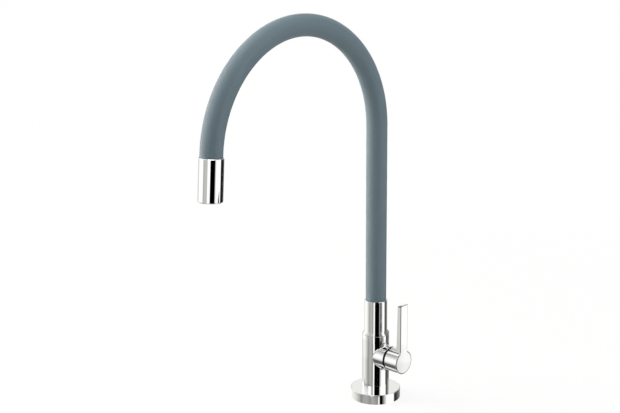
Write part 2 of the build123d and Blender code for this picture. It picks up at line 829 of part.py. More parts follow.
with BuildPart() as aerator_housing:
    turn(
        [
            (aerator_inner_radius, gasket_bottom),
            (aerator_radius, gasket_bottom),
            (aerator_radius, aerator_bottom),
            (aerator_inner_radius - aerator_lip, aerator_bottom),
            (aerator_inner_radius - aerator_lip, screen_bottom),
            (aerator_inner_radius, screen_bottom),
        ],
        tipwise,
    )
aerator_housing.part.label = "aerator_housing"

with BuildPart() as flow_regulator:
    ring(0, stack_radius, gasket_bottom, regulator_bottom, tipwise)
    drill_circle(
        regulator_hole_radius, regulator_hole_circle, regulator_hole_count, gasket_bottom,
        regulator_bottom, tipwise,
    )
flow_regulator.part.label = "flow_regulator"

with BuildPart() as aerator_insert:
    ring(0, stack_radius, regulator_bottom, screen_top, tipwise)
    for ring_number in range(1, insert_hole_rings + 1):
        drill_circle(
            insert_hole_radius, insert_hole_spacing * ring_number, 6 * ring_number, regulator_bottom,
            screen_bottom, tipwise,
        )
aerator_insert.part.label = "aerator_insert"

with BuildPart() as aerator_screen:
    ring(0, stack_radius, screen_top, screen_bottom, tipwise)
    for ring_number in range(1, insert_hole_rings + 1):
        drill_circle(
            screen_hole_radius, insert_hole_spacing * ring_number, 6 * ring_number, screen_top,
            screen_bottom, tipwise,
        )
aerator_screen.part.label = "aerator_screen"

os.makedirs("parts", exist_ok=True)
for piece in (
    base_flange, base_gasket, valve_body, glide_ring, mounting_shank, deck_seal, clamp_washer,
    mounting_nut, inlet_strainer, cartridge_housing, cartridge_seal, seat_seal, fixed_disc,
    moving_disc, spindle, spindle_seal, spindle_clip, lever_handle, spline_bush, handle_screw,
    screw_plug, swivel_spigot, swivel_orings, swivel_bearing, swivel_screw, spout_collar,
    hose_ferrule, silicone_sleeve, gooseneck_tube, water_tube, tip_ferrule, nozzle_shell,
    nozzle_fitting, nozzle_seal, aerator_gasket, aerator_housing, flow_regulator, aerator_insert,
    aerator_screen,
):
    export_step(piece.part, f"parts/{piece.part.label}.step")
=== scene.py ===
# %% [markdown]
# # A kitchen tap with a sleeved swan-neck spout
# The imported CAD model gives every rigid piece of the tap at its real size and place. This notebook adds
# what a solid model leaves out: the ribs of the gooseneck, the threads of the shank, the woven screen at
# the mouth, the finish of each metal, rubber and plastic, and the photographer's set. In a set for chrome
# the surroundings matter as much as the metal, because a mirror has hardly any colour of its own.
# Lengths are in metres, +Z is up, z = 0 is the deck, the lever is towards +X and the spout towards -Y.

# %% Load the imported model
from math import cos, pi, radians, sin
import bpy
from mathutils import Matrix, Vector


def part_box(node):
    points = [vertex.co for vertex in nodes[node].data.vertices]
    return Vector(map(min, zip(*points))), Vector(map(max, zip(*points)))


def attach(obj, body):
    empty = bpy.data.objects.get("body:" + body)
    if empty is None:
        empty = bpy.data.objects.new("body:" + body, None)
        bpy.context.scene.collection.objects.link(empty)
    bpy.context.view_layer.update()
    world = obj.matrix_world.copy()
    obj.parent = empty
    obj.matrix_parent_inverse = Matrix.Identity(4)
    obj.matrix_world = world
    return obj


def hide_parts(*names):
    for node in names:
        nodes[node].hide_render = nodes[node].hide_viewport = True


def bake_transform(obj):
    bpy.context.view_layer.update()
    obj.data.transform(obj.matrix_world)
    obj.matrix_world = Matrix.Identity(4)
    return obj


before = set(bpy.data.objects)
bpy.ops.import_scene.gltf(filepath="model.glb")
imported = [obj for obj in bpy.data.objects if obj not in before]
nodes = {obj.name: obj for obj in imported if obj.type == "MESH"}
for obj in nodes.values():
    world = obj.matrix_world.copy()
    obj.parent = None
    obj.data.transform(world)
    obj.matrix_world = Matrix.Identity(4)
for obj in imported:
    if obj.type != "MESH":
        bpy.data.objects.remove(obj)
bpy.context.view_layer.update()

# %% [markdown]
# ## Camera
# The tap was photographed from its front right, a little above it, with a medium telephoto lens. The
# camera's place and turn were found by fitting the CAD edges to the picture, so they are numbers with
# many digits and not round ones. Three small turns follow each other: tilt down, pan, and roll.

# %% Place the camera
MM = 0.001
camera_turn = radians(41.057)
camera_distance = 1.24735
camera_height = 0.53157
camera_tilt, camera_pan, camera_roll = radians(14.94), radians(-2.991), radians(-0.445)

toward_camera = Vector((sin(camera_turn), -cos(camera_turn), 0))
camera_right = Vector((cos(camera_turn), sin(camera_turn), 0))
level_forward = -toward_camera * cos(camera_pan) + camera_right * sin(camera_pan)
panned_right = camera_right * cos(camera_pan) + toward_camera * sin(camera_pan)
forward = level_forward * cos(camera_tilt) - Vector((0, 0, sin(camera_tilt)))
tilted_up = Vector((0, 0, cos(camera_tilt))) + level_forward * sin(camera_tilt)
right = panned_right * cos(camera_roll) + tilted_up * sin(camera_roll)
up = tilted_up * cos(camera_roll) - panned_right * sin(camera_roll)

put_in_scene = bpy.context.scene.collection.objects.link
camera = bpy.data.objects.new("camera", bpy.data.cameras.new("camera"))
camera.data.lens, camera.data.sensor_width = 76.40, 36.0
camera.matrix_world = Matrix.Translation(
    toward_camera * camera_distance + Vector((0, 0, camera_height))
) @ Matrix((right, up, -forward)).transposed().to_4x4()
put_in_scene(camera)
bpy.context.scene.camera = camera
print("camera at", [round(v, 3) for v in camera.matrix_world.translation])

# %% [markdown]
# ## Two helpers for every node tree
# Blender's colours are linear, while a photograph's are sRGB, so each hex value goes through one
# function. A second function adds a node, sets its properties and feeds its sockets, either with a value
# or with another node's output. Shader trees and Geometry Nodes trees are both built with it.


# %% Colour and node helpers
def linear(hex_value):
    """An sRGB hex value as Blender's linear RGBA."""
    parts = [int(hex_value[i:i + 2], 16) / 255 for i in (1, 3, 5)]
    return tuple(c / 12.92 if c <= 0.04045 else ((c + 0.055) / 1.055) ** 2.4 for c in parts) + (1.0,)


def add(tree, kind, fed=None, **settings):
    """Add a node with its settings, and feed its sockets from values or from other nodes."""
    node = tree.nodes.new(kind)
    node.location = (180 * len(tree.nodes), 0)
    for name, value in settings.items():
        setattr(node, name, value)
    for socket, source in (fed or {}).items():
        if isinstance(source, bpy.types.Node):
            source = source.outputs[0]
        if isinstance(source, bpy.types.NodeSocket):
            tree.links.new(source, node.inputs[socket])
        else:
            node.inputs[socket].default_value = source
    return node


print("white paper in linear light:", round(linear("#F2F2F2")[0], 3))

# %% [markdown]
# ## Chrome plate
# The flange, body, handle, collar and nozzle are brass castings, polished and then plated with nickel and
# a thin skin of chromium. The plate is a nearly perfect mirror: metallic, pale, hardly tinted, and with
# a roughness close to zero. Polishing wheels leave two traces: a long, very shallow waviness that makes a
# straight reflection wander a little, and hair-fine lines that dull it by a few percent.
# A perfect mirror would look too clean for metal, so both traces are drawn in.


# %% Polished chrome on brass
def new_material(name):
    """An empty material and its tree."""
    material = bpy.data.materials.new(name)
    material.use_nodes = True
    material.node_tree.nodes.clear()
    return material, material.node_tree


chrome_grey = linear("#E5E5E4")
polish_wave, polish_line = 14 * MM, 0.6 * MM
chrome, tree = new_material("chrome_plated_polished_brass")
place = add(tree, "ShaderNodeTexCoord").outputs["Object"]
waves = add(tree, "ShaderNodeTexNoise", {"Vector": place, "Scale": 1 / polish_wave, "Detail": 1.0})
lines_place = add(tree, "ShaderNodeMapping", {"Vector": place, "Scale": (1.0, 1.0, 0.04)})
lines = add(tree, "ShaderNodeTexNoise", {"Vector": lines_place, "Scale": 1 / polish_line, "Detail": 3.0})
dulling = add(tree, "ShaderNodeMapRange", {"Value": lines, "To Min": 0.015, "To Max": 0.05})
relief = add(tree, "ShaderNodeBump", {"Height": waves, "Strength": 0.02, "Distance": 0.5 * MM})
shader = add(tree, "ShaderNodeBsdfPrincipled", {
    "Base Color": chrome_grey, "Metallic": 1.0, "Roughness": dulling.outputs[0], "Normal": relief})
add(tree, "ShaderNodeOutputMaterial", {"Surface": shader})
print("made", chrome.name)

# %% [markdown]
# ## Painted reflections on the lever's edges
# A buffing wheel bears hardest on edges, so they are rounder than the faces and mirror other parts of the
# room. On the lever these reflections show as thin darker lines round the disc's rim and down the bar's
# sides. They are too fine for the set's cards, so they are painted: the lever gets the same chrome with a
# darker grey there. Where an edge lies follows from the place on the lever, the distance from the valve's
# axis, and how much the surface faces forwards. Each test gives 1 or 0. A product asks for both, and the
# larger of two for either.

# %% Places on the lever
MATH = "ShaderNodeMath"
# the painted reflection: a darker grey where the lever's rounded edges would mirror the room
painted_reflection_grey = linear("#8C8C8B")
valve_height = 45.25 * MM
rim_start, disc_end = 10.75 * MM, 12.2 * MM  # out from the valve's axis
bar_half_width, corner_start, tip_start = 5.25 * MM, -2.5 * MM, 103.6 * MM
# a copy of the chrome that carries the painted reflection on the lever's edges
chrome_with_painted_edge_reflections = chrome.copy()
chrome_with_painted_edge_reflections.name = "chrome_plated_brass_with_painted_edge_reflections"
tree = chrome_with_painted_edge_reflections.node_tree
coordinates = add(tree, "ShaderNodeTexCoord").outputs
forwards = add(tree, "ShaderNodeSeparateXYZ", {0: coordinates["Normal"]}).outputs["X"]
spot = add(tree, "ShaderNodeSeparateXYZ", {0: coordinates["Object"]}).outputs
off_axis = add(tree, "ShaderNodeMapping", {
    "Vector": coordinates["Object"], "Location": (0, 0, -valve_height), "Scale": (0, 1, 1)})
from_axis = add(tree, "ShaderNodeVectorMath", {0: off_axis}, operation="LENGTH").outputs["Value"]
off_middle = add(tree, MATH, {0: spot["Y"]}, operation="ABSOLUTE")
print("the disc's rim starts", rim_start / MM, "mm from the valve's axis")

# %% Chrome with painted reflections on its edges
over, below, both, one_of = "GREATER_THAN", "LESS_THAN", "MULTIPLY", "MAXIMUM"
masks = {}
for name, value, way, limit in (
    ("in front", forwards, over, 0.7), ("past the rim", from_axis, over, rim_start),
    ("on the disc", from_axis, below, disc_end), ("on the bar", from_axis, over, disc_end),
    ("below the axis", spot["Z"], below, valve_height), ("rounded", forwards, below, 0.96),
    ("beside the bar", off_middle, over, bar_half_width), ("half in front", forwards, over, 0.3),
    ("under the tip", spot["Z"], below, tip_start), ("at the tip", spot["Z"], over, tip_start),
    ("at the corner", spot["Y"], below, corner_start),
):
    masks[name] = add(tree, MATH, {0: value, 1: limit}, operation=way)
for name, first, way, second in (
    ("front of the rim", "in front", both, "past the rim"),
    ("clear of the bar", "beside the bar", one_of, "below the axis"),
    ("rim of the disc", "clear of the bar", both, "on the disc"),
    ("disc's edge", "front of the rim", both, "rim of the disc"),
    ("side", "half in front", both, "under the tip"), ("corner", "at the tip", both, "at the corner"),
    ("side or corner", "side", one_of, "corner"), ("round of the bar", "rounded", both, "on the bar"),
    ("bar's edge", "round of the bar", both, "side or corner"),
    ("edge", "disc's edge", one_of, "bar's edge"),
):
    masks[name] = add(tree, MATH, {0: masks[first], 1: masks[second]}, operation=way)
# painted reflection: the edge mask lays the darker grey over the chrome's own grey
tint = add(tree, "ShaderNodeMix", {"Factor": masks["edge"], 6: chrome_grey, 7: painted_reflection_grey}, data_type="RGBA")
tree.links.new(tint.outputs[2], tree.nodes["Principled BSDF"].inputs["Base Color"])
print("made", chrome_with_painted_edge_reflections.name, "from", len(masks), "masks")

# %% [markdown]
# ## Brass, steel, rubber, plastics and ceramic
# These finishes are for pieces inside the tap or below the deck. Each has a grain, left by the way it was
# made, that sets its gloss and relief, and most drift between two close shades. So one function makes them
# all, and the calls hold what differs. A grain with a direction is a squeezed noise.


# %% A finish with a grain
def grained(name, light, dark, patch, grain, squeeze, gloss, relief, traits):
    """A material: patch and grain are (size in mm, detail), gloss a range, relief (strength, mm)."""
    material, tree = new_material(name)
    place = add(tree, "ShaderNodeTexCoord").outputs["Object"]
    colour = linear(light)
    if dark != light:
        drift = add(tree, "ShaderNodeTexNoise",
                    {"Vector": place, "Scale": 1 / (patch[0] * MM), "Detail": patch[1]})
        colour = add(tree, "ShaderNodeMix", {"Factor": drift, 6: linear(light), 7: linear(dark)},
                     data_type="RGBA").outputs[2]
    squeezed = add(tree, "ShaderNodeMapping", {"Vector": place, "Scale": squeeze})
    marks = add(tree, "ShaderNodeTexNoise",
                {"Vector": squeezed, "Scale": 1 / (grain[0] * MM), "Detail": grain[1]})
    rough = add(tree, "ShaderNodeMapRange", {"Value": marks, "To Min": gloss[0], "To Max": gloss[1]})
    bump = add(tree, "ShaderNodeBump", {"Height": marks, "Strength": relief[0], "Distance": relief[1] * MM})
    shader = add(tree, "ShaderNodeBsdfPrincipled",
                 {"Base Color": colour, "Roughness": rough.outputs[0], "Normal": bump, **traits})
    add(tree, "ShaderNodeOutputMaterial", {"Surface": shader})
    print("made", name)
    return material


# %% [markdown]
# ## Machined brass and satin steel
# The lathe leaves brass warm yellow and satin, with fine rings around the turning axis. Pieces turned about
# the upright axis and those turned about the valve's crosswise axis need rings in different directions, so
# there are two brasses. Stainless steel is pressed or drawn and keeps a straight satin grain.

# %% Brass, turned about two axes, and stainless steel
metal = {"Metallic": 1.0}
brass = {}
for way, squeeze in {"upright": (0.02, 0.02, 1.0), "crosswise": (1.0, 0.02, 0.02)}.items():
    brass[way] = grained(f"turned_brass_{way}", "#DDB96E", "#C79B4C", (9, 4.0), (0.25, 2.0), squeeze,
                         (0.22, 0.42), (0.25, 0.02), metal)
steel = grained("satin_stainless_steel", "#C9CBCC", "#C9CBCC", None, (0.5, 3.0), (0.08, 1.0, 1.0),
                (0.26, 0.44), (0.2, 0.02), metal)

# %% [markdown]
# ## Moulded and extruded pieces
# EPDM rubber and acetal are moulded, and show the fine blast texture of the mould. Polyethylene is drawn
# through a die and stays milky. The valve discs are alumina, lapped flat.

# %% Rubber, acetal, polyethylene and alumina
moulded = {}
for name, light, dark, grain, gloss, index in (
    ("moulded_black_epdm_rubber", "#343434", "#242424", 0.35, (0.55, 0.75), 1.50),  # matt, dull highlights
    ("moulded_black_acetal", "#0E0E0F", "#080809", 0.50, (0.50, 0.65), 1.40),  # deep black, hardly shines
    ("moulded_white_acetal", "#EDEDE8", "#E2E2DB", 0.50, (0.30, 0.45), 1.48),  # waxy off-white
    ("extruded_polyethylene", "#EFF0EA", "#DFE1DA", 0.80, (0.30, 0.42), 1.51),  # milky, a greasy shine
    ("lapped_alumina_ceramic", "#F4F2EB", "#ECEAE2", 0.20, (0.12, 0.25), 1.76),  # ivory, nearly polished
):
    moulded[name] = grained(name, light, dark, (7, 3.0), (grain, 2.0), (1.0, 1.0, 1.0), gloss,
                            (0.3, 0.03), {"IOR": index})

# %% [markdown]
# ## Silicone sleeve
# The sleeve is extruded silicone rubber, pigmented blue-grey and left matt, so that water marks don't
# show. It has a soft, powdery edge: at a glancing angle its fine grain scatters white light, which is
# what the sheen lobe does. The grain is read from the place on the straightened hose, an attribute that
# the hose's node tree stores, so the pattern follows the surface when the spout bends.
# The real grain is about 0.2 mm. It is drawn at 0.9 mm, as fine as the picture can still show.

# %% Matt silicone
silicone_grain, draw_line = 0.9 * MM, 2.5 * MM
silicone, tree = new_material("extruded_matt_silicone")
hose_place = add(tree, "ShaderNodeAttribute", attribute_name="hose_place").outputs["Vector"]
grain = add(tree, "ShaderNodeTexNoise",
            {"Vector": hose_place, "Scale": 1 / silicone_grain, "Detail": 3.0, "Roughness": 0.6})
draw_place = add(tree, "ShaderNodeMapping", {"Vector": hose_place, "Scale": (1.0, 1.0, 0.03)})
draw_lines = add(tree, "ShaderNodeTexNoise", {"Vector": draw_place, "Scale": 1 / draw_line, "Detail": 2.0})
tint = add(tree, "ShaderNodeMix", {"Factor": draw_lines, 6: linear("#5B6D74"), 7: linear("#55676E")},
           data_type="RGBA")
gloss = add(tree, "ShaderNodeMapRange", {"Value": grain, "To Min": 0.5, "To Max": 0.62})
relief = add(tree, "ShaderNodeBump", {"Height": grain, "Strength": 0.25, "Distance": 0.06 * MM})
shader = add(tree, "ShaderNodeBsdfPrincipled",
             {"Base Color": tint.outputs[2], "Roughness": gloss.outputs[0], "IOR": 1.41,
              "Sheen Weight": 0.11, "Sheen Roughness": 0.4, "Normal": relief})
add(tree, "ShaderNodeOutputMaterial", {"Surface": shader})
print("made", silicone.name)

# %% [markdown]
# ## Interlocked steel hose
# The gooseneck is a steel strip or wire wound into an interlocked helix, zinc-plated or stainless. Seen
# close up each winding is drawn smooth along its length, and dirt and oil darken it in random patches.

# %% Wound steel
oil_patch = 6 * MM
wound_steel, tree = new_material("wound_spring_steel")
hose_place = add(tree, "ShaderNodeAttribute", attribute_name="hose_place").outputs["Vector"]
oil = add(tree, "ShaderNodeTexNoise", {"Vector": hose_place, "Scale": 1 / oil_patch, "Detail": 4.0})
tint = add(tree, "ShaderNodeMix", {"Factor": oil, 6: linear("#C4C6C8"), 7: linear("#A9ACAF")},
           data_type="RGBA")
satin = add(tree, "ShaderNodeMapRange", {"Value": oil, "To Min": 0.24, "To Max": 0.45})
shader = add(tree, "ShaderNodeBsdfPrincipled",
             {"Base Color": tint.outputs[2], "Metallic": 1.0, "Roughness": satin.outputs[0]})
add(tree, "ShaderNodeOutputMaterial", {"Surface": shader})
print("made", wound_steel.name)

# %% [markdown]
# ## One rule for every hose
# The sleeve, the gooseneck and the water tube follow the same line: up the column, over the arch, and on
# along the nozzle. A curve swept along a path would leave the tube's ends open, and a hollow tube needs
# an inner wall too. So the tree rolls one sheet of points instead. Counting along the sheet, the points go
# up the bore, over the end ring, and back down the outside; counting across it, they go round the hose.
# The rule turns "how far along" and "how far round" into a place in space, and two sizes, rib depth and
# rib pitch, press a helical groove into the outside. The shank's screw thread is the same rule on a
# straight line, with a relief groove and chamfered ends.

# %% Sizes of the spout's line
column_top = 279.0 * MM
arch_radius = 107.0 * MM
arch_angle = radians(176.0)
arch_end = Vector((0, arch_radius * (cos(arch_angle) - 1), column_top + arch_radius * sin(arch_angle)))
tip_direction = Vector((0, -sin(arch_angle), cos(arch_angle)))
print("the arch ends at", [round(v, 4) for v in arch_end])


# %% Geometry Nodes: roll a hose along the spout
def new_geometry_tree(name, sizes):
    """An empty Geometry Nodes tree whose inputs are named sizes, counts and a finish."""
    tree = bpy.data.node_groups.new(name, "GeometryNodeTree")
    tree.interface.new_socket("Geometry", in_out="OUTPUT", socket_type="NodeSocketGeometry")
    for size, kind in sizes.items():
        tree.interface.new_socket(size, in_out="INPUT", socket_type=f"NodeSocket{kind}")
    return tree, add(tree, "NodeGroupInput").outputs


tree, given = new_geometry_tree("hose_along_the_spout", {
    "Foot": "Float", "Length": "Float", "Outer radius": "Float", "Inner radius": "Float",
    "Rib depth": "Float", "Rib pitch": "Float", "End chamfer": "Float",
    "Relief start": "Float", "Relief end": "Float", "Relief depth": "Float",
    "Column top": "Float", "Arch radius": "Float", "Arch angle": "Float",
    "Steps along": "Int", "Steps around": "Int", "Finish": "Material",
})
width = add(tree, MATH, {0: given["Steps along"], 1: 2.0, 2: 4.0}, operation="MULTIPLY_ADD")
columns = add(tree, MATH, {0: width, 1: 1.0})
rows = add(tree, MATH, {0: given["Steps around"], 1: 1.0})
sheet = add(tree, "GeometryNodeMeshGrid",
            {"Size X": width, "Size Y": 1.0, "Vertices X": columns, "Vertices Y": rows})
where = add(tree, "ShaderNodeSeparateXYZ", {0: add(tree, "GeometryNodeInputPosition")})
across, around = where.outputs["X"], where.outputs["Y"]
print("hose sizes:", len(given))

# %% How far along, and on which wall
count = add(tree, MATH, {0: across}, operation="ABSOLUTE")
step = add(tree, MATH, {0: add(tree, MATH, {0: count, 1: 1.0}, operation="SUBTRACT"),
                        1: given["Steps along"]}, operation="MINIMUM")
stride = add(tree, MATH, {0: given["Length"], 1: given["Steps along"]}, operation="DIVIDE")
along = add(tree, MATH, {0: add(tree, MATH, {0: step, 1: 0.0}, operation="MAXIMUM"), 1: stride},
            operation="MULTIPLY")
last = add(tree, MATH, {0: given["Steps along"], 1: 1.5})
on_wall = add(tree, MATH, {0: count, 1: last}, operation="LESS_THAN")
side = add(tree, MATH, {0: add(tree, MATH, {0: across}, operation="SIGN"), 1: on_wall},
           operation="MULTIPLY")
middle = add(tree, MATH, {0: given["Outer radius"], 1: given["Inner radius"]})
half_wall = add(tree, MATH, {0: given["Outer radius"], 1: given["Inner radius"]}, operation="SUBTRACT")
wall_radius = add(tree, MATH, {0: add(tree, MATH, {0: side, 1: half_wall, 2: middle},
                                      operation="MULTIPLY_ADD"), 1: 0.5}, operation="MULTIPLY")
print("along and across:", len(tree.nodes), "nodes")

# %% Ribs or thread, relief groove and end chamfers
turns = add(tree, MATH, {0: add(tree, MATH, {0: along, 1: given["Rib pitch"]}, operation="DIVIDE"),
                         1: around})
flank = add(tree, MATH, {0: turns, 1: 0.5}, operation="PINGPONG")
groove = add(tree, MATH, {0: flank, 1: given["Rib depth"]}, operation="MULTIPLY")
ribbed = add(tree, MATH, {0: groove, 1: -2.0, 2: given["Outer radius"]}, operation="MULTIPLY_ADD")
after_start = add(tree, MATH, {0: along, 1: given["Relief start"]}, operation="GREATER_THAN")
before_end = add(tree, MATH, {0: along, 1: given["Relief end"]}, operation="LESS_THAN")
in_relief = add(tree, MATH, {0: after_start, 1: before_end}, operation="MULTIPLY")
relief_cut = add(tree, MATH, {0: in_relief, 1: given["Relief depth"]}, operation="MULTIPLY")
relieved = add(tree, MATH, {0: given["Outer radius"], 1: relief_cut}, operation="SUBTRACT")
to_end = add(tree, MATH, {0: given["Length"], 1: along}, operation="SUBTRACT")
to_nearer_end = add(tree, MATH, {0: along, 1: to_end}, operation="MINIMUM")
chamfer_foot = add(tree, MATH, {0: given["Outer radius"], 1: given["End chamfer"]}, operation="SUBTRACT")
chamfered = add(tree, MATH, {0: to_nearer_end, 1: chamfer_foot})
lowest = add(tree, MATH, {0: ribbed, 1: add(tree, MATH, {0: relieved, 1: chamfered}, operation="MINIMUM")},
             operation="MINIMUM")
radius = add(tree, MATH, {0: wall_radius, 1: lowest}, operation="MINIMUM")
print("with ribs, relief and chamfers:", len(tree.nodes), "nodes")

# %% From the straight hose to the bent one
angle_round = add(tree, MATH, {0: around, 1: -2 * pi}, operation="MULTIPLY")
sideways = add(tree, MATH, {0: radius, 1: add(tree, MATH, {0: angle_round}, operation="COSINE")},
               operation="MULTIPLY")
outwards = add(tree, MATH, {0: radius, 1: add(tree, MATH, {0: angle_round}, operation="SINE")},
               operation="MULTIPLY")
straight_run = add(tree, MATH, {0: given["Column top"], 1: given["Foot"]}, operation="SUBTRACT")
rise = add(tree, MATH, {0: along, 1: straight_run}, operation="MINIMUM")
past_column = add(tree, MATH, {0: along, 1: rise}, operation="SUBTRACT")
arch_run = add(tree, MATH, {0: given["Arch radius"], 1: given["Arch angle"]}, operation="MULTIPLY")
over_arch = add(tree, MATH, {0: past_column, 1: arch_run}, operation="MINIMUM")
tail = add(tree, MATH, {0: past_column, 1: over_arch}, operation="SUBTRACT")
bend = add(tree, MATH, {0: over_arch, 1: given["Arch radius"]}, operation="DIVIDE")
bend_cosine = add(tree, MATH, {0: bend}, operation="COSINE")
bend_sine = add(tree, MATH, {0: bend}, operation="SINE")
reach = add(tree, MATH, {0: outwards, 1: given["Arch radius"]})
back = add(tree, MATH, {0: tail, 1: bend_sine, 2: given["Arch radius"]}, operation="MULTIPLY_ADD")
y_place = add(tree, MATH, {0: add(tree, MATH, {0: reach, 1: bend_cosine}, operation="MULTIPLY"), 1: back},
              operation="SUBTRACT")
base_height = add(tree, MATH, {0: given["Foot"], 1: rise})
tail_drop = add(tree, MATH, {0: tail, 1: bend_cosine, 2: base_height}, operation="MULTIPLY_ADD")
z_place = add(tree, MATH, {0: reach, 1: bend_sine, 2: tail_drop}, operation="MULTIPLY_ADD")
bent = add(tree, "ShaderNodeCombineXYZ", {"X": sideways, "Y": y_place, "Z": z_place})
unbent = add(tree, "ShaderNodeCombineXYZ", {"X": sideways, "Y": outwards, "Z": along})
print("with the bend:", len(tree.nodes), "nodes")

# %% Store the unbent place, bend, weld and finish
weld_distance, hard_edge = 0.001 * MM, radians(40)
stored = add(tree, "GeometryNodeStoreNamedAttribute",
             {"Geometry": sheet, "Name": "hose_place", "Value": unbent},
             data_type="FLOAT_VECTOR", domain="POINT")
placed = add(tree, "GeometryNodeSetPosition", {"Geometry": stored, "Position": bent})
welded = add(tree, "GeometryNodeMergeByDistance", {"Geometry": placed, "Distance": weld_distance})
edge_angle = add(tree, "GeometryNodeInputMeshEdgeAngle")
hard = add(tree, "FunctionNodeCompare", {0: edge_angle, 1: hard_edge}, operation="GREATER_THAN")
smooth = add(tree, "GeometryNodeSetShadeSmooth", {"Geometry": welded, "Shade Smooth": True})
edged = add(tree, "GeometryNodeSetShadeSmooth",
            {"Geometry": smooth, "Selection": hard, "Shade Smooth": False}, domain="EDGE")
real = add(tree, "GeometryNodeRealizeInstances", {"Geometry": edged})
finished = add(tree, "GeometryNodeSetMaterial", {"Geometry": real, "Material": given["Finish"]})
add(tree, "NodeGroupOutput", {"Geometry": finished})
hose_tree = tree
print("hose tree:", len(hose_tree.nodes), "nodes")


# %% Grow a piece from a tree
def grow(name, tree, sizes):
    """Run a tree with these sizes and keep the result as a plain mesh object."""
    start = bpy.data.objects.new("start", bpy.data.meshes.new("start"))
    put_in_scene(start)
    modifier = start.modifiers.new("tree", "NODES")
    modifier.node_group = tree
    for item in tree.interface.items_tree:
        if item.in_out == "INPUT":
            modifier[item.identifier] = sizes[item.name]
    bpy.context.view_layer.update()
    graph = bpy.context.evaluated_depsgraph_get()
    mesh = bpy.data.meshes.new_from_object(
        start.evaluated_get(graph), preserve_all_data_layers=True, depsgraph=graph)
    mesh.materials.pop(index=0)  # the empty slot that a new mesh starts with
    piece = bpy.data.objects.new(name, mesh)
    put_in_scene(piece)
    bpy.data.objects.remove(start)
    print(name, len(piece.data.polygons), "faces,", [m.name for m in piece.data.materials])
    return piece


# %% The three hoses of the spout
line = {"Column top": column_top, "Arch radius": arch_radius, "Arch angle": arch_angle}
plain = {"Rib depth": 0.0, "Rib pitch": 1.0, "Relief start": 0.0, "Relief end": 0.0, "Relief depth": 0.0}
sleeve_foot, sleeve_tail = 84.0 * MM, 8.4 * MM  # in the collar, and in the nozzle past the arch
hose_foot, hose_tail = 79.0 * MM, 13.1 * MM
arch_length = arch_radius * arch_angle
hoses = {
    "silicone_sleeve": ("sleeve_skin", silicone, "silicone", {
        **plain, "Foot": sleeve_foot, "Length": column_top - sleeve_foot + arch_length + sleeve_tail,
        "Outer radius": 10.25 * MM, "Inner radius": 7.5 * MM, "End chamfer": 0.2 * MM,
        "Steps along": 266, "Steps around": 48}),
    "gooseneck_tube": ("gooseneck_windings", wound_steel, "stainless_steel", {
        **plain, "Foot": hose_foot, "Length": column_top - hose_foot + arch_length + hose_tail,
        "Outer radius": 7.4 * MM, "Inner radius": 5.4 * MM, "End chamfer": 0.3 * MM,
        "Rib depth": 0.7 * MM, "Rib pitch": 4.5 * MM, "Steps along": 722, "Steps around": 24}),
    "water_tube": ("water_tube_wall", moulded["extruded_polyethylene"], "white_plastic", {
        **plain, "Foot": hose_foot, "Length": column_top - hose_foot + arch_length + hose_tail,
        "Outer radius": 4.0 * MM, "Inner radius": 2.9 * MM, "End chamfer": 0.1 * MM,
        "Steps along": 180, "Steps around": 24}),
}
for cad_node, (name, finish, slot, sizes) in hoses.items():
    hose = grow(name, hose_tree, {**line, **sizes, "Finish": finish})
    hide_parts(cad_node)
    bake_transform(hose)
    low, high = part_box(cad_node)
    gap = max(abs(c[i] - v[i]) for c, v in zip((low, high), (
        [min(v.co[i] for v in hose.data.vertices) for i in range(3)],
        [max(v.co[i] for v in hose.data.vertices) for i in range(3)])) for i in range(3))
    print(name, "is within", round(gap / MM, 3), "mm of its CAD solid's box")

# %% [markdown]
# ## Threaded shank
# The shank is a brass stud with a G1/2 thread, 14 turns to the inch. A thread is a helical groove of one
# pitch, so the hose tree cuts it: the rib pitch is 25.4 / 14 mm. The crests stay at the CAD solid's
# radius and only the groove goes in, so the nut and the supply hose fit as the mount says.

# %% Shank with its thread
thread_pitch = 25.4 * MM / 14
steps_per_turn = 6
shank_low, shank_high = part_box("mounting_shank")
shank_length = shank_high.z - shank_low.z
shank = grow("threaded_shank", hose_tree, {
    **line, "Foot": shank_low.z, "Length": shank_length, "Outer radius": 10.48 * MM,
    "Inner radius": 6.0 * MM, "Rib depth": 1.0 * MM, "Rib pitch": thread_pitch, "End chamfer": 0.8 * MM,
    "Relief start": 12.0 * MM, "Relief end": 13.5 * MM, "Relief depth": 1.0 * MM,
    "Steps along": round(shank_length / thread_pitch * steps_per_turn), "Steps around": 36,
    "Finish": brass["upright"],
})
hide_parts("mounting_shank")
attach(shank, "base")

# %% [markdown]
# ## Woven screen at the mouth
# The last piece of the aerator is a disc of stainless wire cloth. Each wire passes over one cross wire
# and under the next. The tree lays one wire beside the other, cuts each to the disc's circle, and waves it
# by half a turn from crossing to crossing. The second set is the first one turned by a right angle and
# mirrored, so that where one goes up the other goes down. A thicker ring holds the ends.
# The real cloth has about 0.3 mm between wires. It is drawn at 0.9 mm, so that it still shows.

